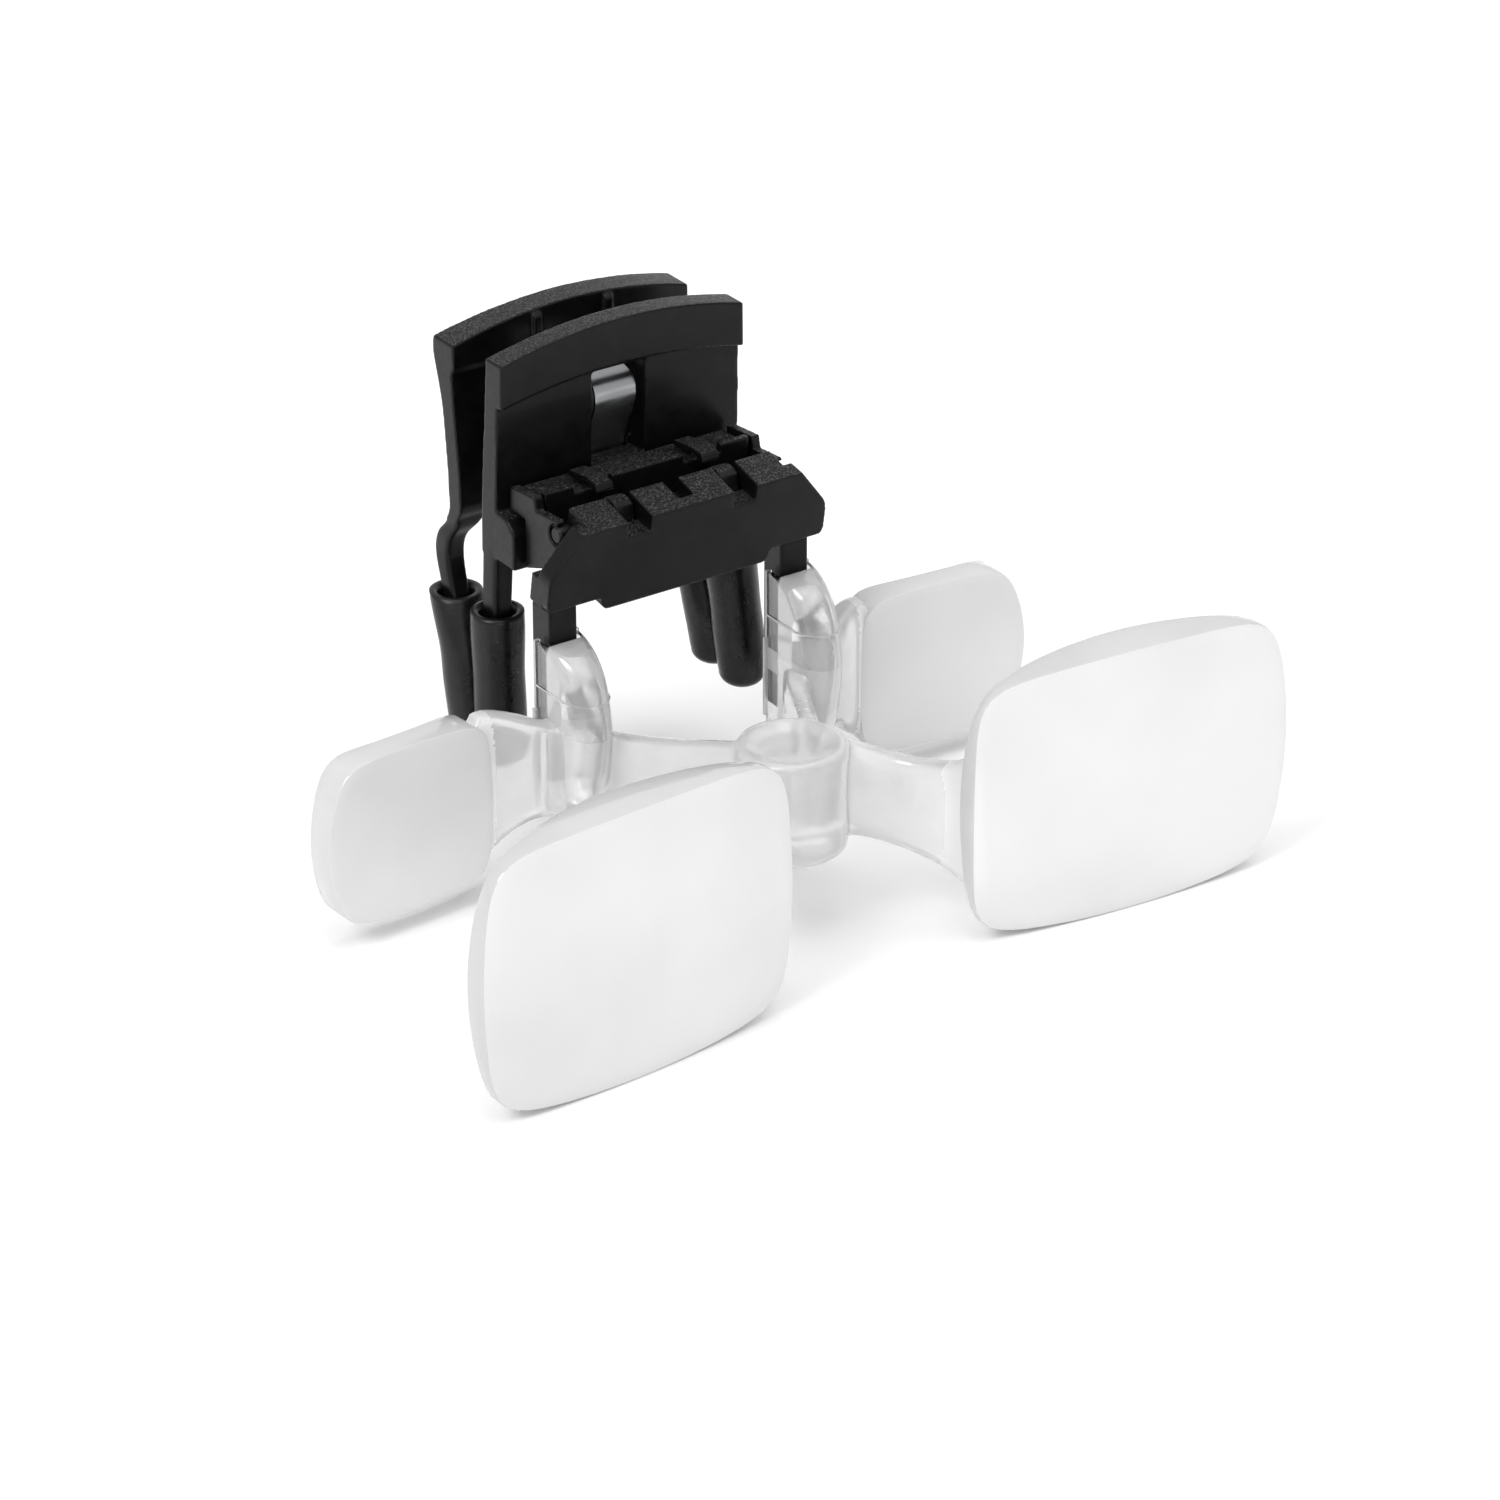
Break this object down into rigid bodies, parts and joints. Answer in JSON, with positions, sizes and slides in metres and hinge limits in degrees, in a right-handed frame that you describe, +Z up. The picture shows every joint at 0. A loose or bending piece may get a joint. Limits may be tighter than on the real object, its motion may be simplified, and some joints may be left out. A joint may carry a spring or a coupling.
{
  "type": "clip-on binocular magnifier",
  "caption": "Clip-on binocular magnifier: large front and small rear lenses on a clear hub, flip-up hinged to a spring clip with rubber-sleeved legs that grips spectacles.",
  "frame": {"origin": "under the middle of the object, on the surface it stands on", "axes": "+X across the pair of lenses, -Y the way the lenses look, +Z up with the lenses folded down"},
  "size_m": [0.094, 0.0608, 0.0536],
  "materials": {
    "clear_lens": "clear polished acrylic, faintly milky with grey edges",
    "clear_moulding": "clear acrylic moulding with soft satin walls and glossy fillets",
    "black_plastic": "black moulded plastic, satin faces with a fine spark-eroded grain",
    "rubber_sleeve": "black soft tubing with a semi-gloss skin",
    "steel": "bright bent spring strip and pins"
  },
  "bodies": {
    "optics": {"front_lens_left": "clear_lens", "front_lens_right": "clear_lens", "rear_lens_left": "clear_lens", "rear_lens_right": "clear_lens", "centre_hub": "clear_moulding", "front_arm_left": "clear_moulding", "front_arm_right": "clear_moulding", "rear_arm_left": "clear_moulding", "rear_arm_right": "clear_moulding", "post_left": "clear_moulding", "post_right": "clear_moulding", "lens_bridge_left": "clear_moulding", "lens_bridge_right": "clear_moulding"},
    "carrier": {"carrier_plate": "black_plastic", "carrier_arm_left": "black_plastic", "carrier_arm_right": "black_plastic", "hinge_barrel_left": "black_plastic", "hinge_barrel_right": "black_plastic"},
    "clip": {"front_jaw": "black_plastic", "front_leg_left": "black_plastic", "front_leg_right": "black_plastic", "front_sleeve_left": "rubber_sleeve", "front_sleeve_right": "rubber_sleeve", "hinge_bracket": "black_plastic", "hinge_ear_left": "black_plastic", "hinge_ear_right": "black_plastic", "detent_finger_left": "black_plastic", "detent_finger_right": "black_plastic", "hinge_pin": "steel", "jaw_pivot_pin": "steel", "grip_spring_front_leaf": "steel"},
    "rear_clip": {"rear_jaw": "black_plastic", "rear_leg_left": "black_plastic", "rear_leg_right": "black_plastic", "rear_sleeve_left": "rubber_sleeve", "rear_sleeve_right": "rubber_sleeve", "grip_spring_rear_leaf": "steel"}
  },
  "joints": [
    {"name": "flip_hinge", "type": "hinge", "parent": "clip", "child": "carrier", "pos_m": [0, 0.00923, 0.0367], "axis": [-1, 0, 0], "range_deg": [0, 90]},
    {"name": "height_slide", "type": "slide", "parent": "carrier", "child": "optics", "axis": [0, 0, 1], "range_m": [0, 0.0032]},
    {"name": "jaw_pinch", "type": "hinge", "parent": "clip", "child": "rear_clip", "pos_m": [0, 0.02323, 0.0346], "axis": [1, 0, 0], "range_deg": [0, 18], "stiffness_Nm_per_rad": 0.15, "springref_deg": -20.05}
  ]
}
